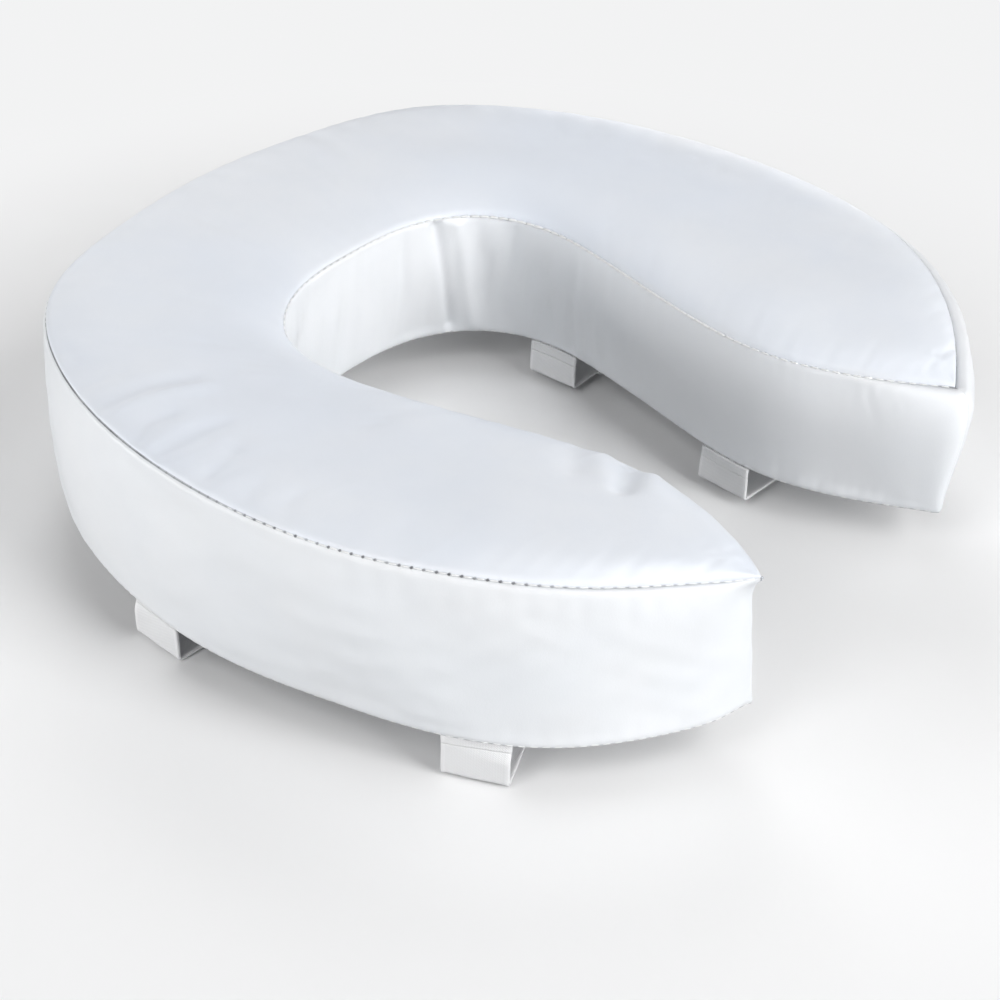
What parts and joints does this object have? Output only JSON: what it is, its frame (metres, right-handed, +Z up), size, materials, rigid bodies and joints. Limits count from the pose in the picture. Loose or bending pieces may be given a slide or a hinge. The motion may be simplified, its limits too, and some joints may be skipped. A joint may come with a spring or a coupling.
{
  "type": "raised toilet seat",
  "caption": "Padded horseshoe riser cushion for a toilet seat: firm foam in a sewn white vinyl cover, open at the front, held by hook-and-loop straps under the seat ring.",
  "frame": {"origin": "on the flat base, on the plane of symmetry, midway between the front tips and the back", "axes": "+Z up out of the base, +X to the sitter's right-hand arm of the horseshoe seen from the front with +Y to the back, mouth of the horseshoe towards -Y"},
  "size_m": [0.3845, 0.3714, 0.1065],
  "materials": {
    "vinyl_top": "white vinyl, fine leather grain, soft sheen",
    "vinyl_band": "white vinyl, fine leather grain, soft sheen",
    "vinyl_base": "white vinyl, coarser grip grain, matt",
    "foam": "firm open-cell polyurethane foam, cream",
    "thread": "polyester lockstitch thread",
    "webbing": "white woven webbing",
    "loop_tape": "brushed loop pile, white",
    "hook_tape": "moulded hooks on woven tape, white"
  },
  "bodies": {
    "root": {"foam_core": "foam", "base_panel": "vinyl_base", "outer_band": "vinyl_band", "inner_band": "vinyl_band", "top_panel": "vinyl_top", "seam_thread_top_outer": "thread", "seam_thread_top_inner": "thread", "seam_thread_base_outer": "thread", "seam_thread_base_inner": "thread", "seam_thread_tip_left": "thread", "seam_thread_tip_right": "thread"},
    "strap_front_right_outer": {"strap_front_right_outer_drop": "webbing"},
    "strap_front_right_outer_end": {"strap_front_right_outer_tab": "webbing", "loop_patch_front_right": "loop_tape", "patch_stitching_front_right_outer": "thread"},
    "strap_front_right_inner": {"strap_front_right_inner_drop": "webbing"},
    "strap_front_right_inner_end": {"strap_front_right_inner_tab": "webbing", "hook_patch_front_right": "hook_tape", "patch_stitching_front_right_inner": "thread"},
    "strap_front_left_outer": {"strap_front_left_outer_drop": "webbing"},
    "strap_front_left_outer_end": {"strap_front_left_outer_tab": "webbing", "loop_patch_front_left": "loop_tape", "patch_stitching_front_left_outer": "thread"},
    "strap_front_left_inner": {"strap_front_left_inner_drop": "webbing"},
    "strap_front_left_inner_end": {"strap_front_left_inner_tab": "webbing", "hook_patch_front_left": "hook_tape", "patch_stitching_front_left_inner": "thread"},
    "strap_rear_right_outer": {"strap_rear_right_outer_drop": "webbing"},
    "strap_rear_right_outer_end": {"strap_rear_right_outer_tab": "webbing", "loop_patch_rear_right": "loop_tape", "patch_stitching_rear_right_outer": "thread"},
    "strap_rear_right_inner": {"strap_rear_right_inner_drop": "webbing"},
    "strap_rear_right_inner_end": {"strap_rear_right_inner_tab": "webbing", "hook_patch_rear_right": "hook_tape", "patch_stitching_rear_right_inner": "thread"},
    "strap_rear_left_outer": {"strap_rear_left_outer_drop": "webbing"},
    "strap_rear_left_outer_end": {"strap_rear_left_outer_tab": "webbing", "loop_patch_rear_left": "loop_tape", "patch_stitching_rear_left_outer": "thread"},
    "strap_rear_left_inner": {"strap_rear_left_inner_drop": "webbing"},
    "strap_rear_left_inner_end": {"strap_rear_left_inner_tab": "webbing", "hook_patch_rear_left": "hook_tape", "patch_stitching_rear_left_inner": "thread"}
  },
  "joints": [
    {"name": "strap_front_right_outer_swing", "type": "hinge", "parent": "root", "child": "strap_front_right_outer", "pos_m": [0.16337, -0.11575, -0.001], "axis": [-0.3746, -0.9272, 0], "range_deg": [0, 90], "stiffness_Nm_per_rad": 0.01},
    {"name": "strap_front_right_outer_fold", "type": "hinge", "parent": "strap_front_right_outer", "child": "strap_front_right_outer_end", "pos_m": [0.16337, -0.11575, -0.0204], "axis": [-0.3746, -0.9272, 0], "range_deg": [0, 90]},
    {"name": "strap_front_right_inner_swing", "type": "hinge", "parent": "root", "child": "strap_front_right_inner", "pos_m": [0.0589, -0.08675, -0.001], "axis": [0.1045, 0.9945, 0], "range_deg": [0, 63]},
    {"name": "strap_front_right_inner_fold", "type": "hinge", "parent": "strap_front_right_inner", "child": "strap_front_right_inner_end", "pos_m": [0.0589, -0.08675, -0.0167], "axis": [0.1045, 0.9945, 0], "range_deg": [0, 63]},
    {"name": "strap_front_left_outer_swing", "type": "hinge", "parent": "root", "child": "strap_front_left_outer", "pos_m": [-0.16337, -0.11575, -0.001], "axis": [-0.3746, 0.9272, 0], "range_deg": [0, 90], "stiffness_Nm_per_rad": 0.01},
    {"name": "strap_front_left_outer_fold", "type": "hinge", "parent": "strap_front_left_outer", "child": "strap_front_left_outer_end", "pos_m": [-0.16337, -0.11575, -0.0204], "axis": [-0.3746, 0.9272, 0], "range_deg": [0, 90]},
    {"name": "strap_front_left_inner_swing", "type": "hinge", "parent": "root", "child": "strap_front_left_inner", "pos_m": [-0.0589, -0.08675, -0.001], "axis": [0.1045, -0.9945, 0], "range_deg": [0, 63]},
    {"name": "strap_front_left_inner_fold", "type": "hinge", "parent": "strap_front_left_inner", "child": "strap_front_left_inner_end", "pos_m": [-0.0589, -0.08675, -0.0167], "axis": [0.1045, -0.9945, 0], "range_deg": [0, 63]},
    {"name": "strap_rear_right_outer_swing", "type": "hinge", "parent": "root", "child": "strap_rear_right_outer", "pos_m": [0.18485, 0.03681, -0.001], "axis": [0.0872, -0.9962, 0], "range_deg": [0, 90], "stiffness_Nm_per_rad": 0.01},
    {"name": "strap_rear_right_outer_fold", "type": "hinge", "parent": "strap_rear_right_outer", "child": "strap_rear_right_outer_end", "pos_m": [0.18485, 0.03681, -0.0204], "axis": [0.0872, -0.9962, 0], "range_deg": [0, 90]},
    {"name": "strap_rear_right_inner_swing", "type": "hinge", "parent": "root", "child": "strap_rear_right_inner", "pos_m": [0.08423, 0.03115, -0.001], "axis": [0, 1, 0], "range_deg": [0, 63]},
    {"name": "strap_rear_right_inner_fold", "type": "hinge", "parent": "strap_rear_right_inner", "child": "strap_rear_right_inner_end", "pos_m": [0.08423, 0.03115, -0.0167], "axis": [0, 1, 0], "range_deg": [0, 63]},
    {"name": "strap_rear_left_outer_swing", "type": "hinge", "parent": "root", "child": "strap_rear_left_outer", "pos_m": [-0.18485, 0.03681, -0.001], "axis": [0.0872, 0.9962, 0], "range_deg": [0, 90], "stiffness_Nm_per_rad": 0.01},
    {"name": "strap_rear_left_outer_fold", "type": "hinge", "parent": "strap_rear_left_outer", "child": "strap_rear_left_outer_end", "pos_m": [-0.18485, 0.03681, -0.0204], "axis": [0.0872, 0.9962, 0], "range_deg": [0, 90]},
    {"name": "strap_rear_left_inner_swing", "type": "hinge", "parent": "root", "child": "strap_rear_left_inner", "pos_m": [-0.08423, 0.03115, -0.001], "axis": [0, -1, 0], "range_deg": [0, 63]},
    {"name": "strap_rear_left_inner_fold", "type": "hinge", "parent": "strap_rear_left_inner", "child": "strap_rear_left_inner_end", "pos_m": [-0.08423, 0.03115, -0.0167], "axis": [0, -1, 0], "range_deg": [0, 63]}
  ],
  "couplings": [
    {"joint": "strap_front_right_outer_fold", "follows": "strap_front_right_outer_swing", "ratio": 1},
    {"joint": "strap_front_right_inner_swing", "follows": "strap_front_right_outer_swing", "ratio": 0.7},
    {"joint": "strap_front_right_inner_fold", "follows": "strap_front_right_outer_swing", "ratio": 0.7},
    {"joint": "strap_front_left_outer_fold", "follows": "strap_front_left_outer_swing", "ratio": 1},
    {"joint": "strap_front_left_inner_swing", "follows": "strap_front_left_outer_swing", "ratio": 0.7},
    {"joint": "strap_front_left_inner_fold", "follows": "strap_front_left_outer_swing", "ratio": 0.7},
    {"joint": "strap_rear_right_outer_fold", "follows": "strap_rear_right_outer_swing", "ratio": 1},
    {"joint": "strap_rear_right_inner_swing", "follows": "strap_rear_right_outer_swing", "ratio": 0.7},
    {"joint": "strap_rear_right_inner_fold", "follows": "strap_rear_right_outer_swing", "ratio": 0.7},
    {"joint": "strap_rear_left_outer_fold", "follows": "strap_rear_left_outer_swing", "ratio": 1},
    {"joint": "strap_rear_left_inner_swing", "follows": "strap_rear_left_outer_swing", "ratio": 0.7},
    {"joint": "strap_rear_left_inner_fold", "follows": "strap_rear_left_outer_swing", "ratio": 0.7}
  ]
}
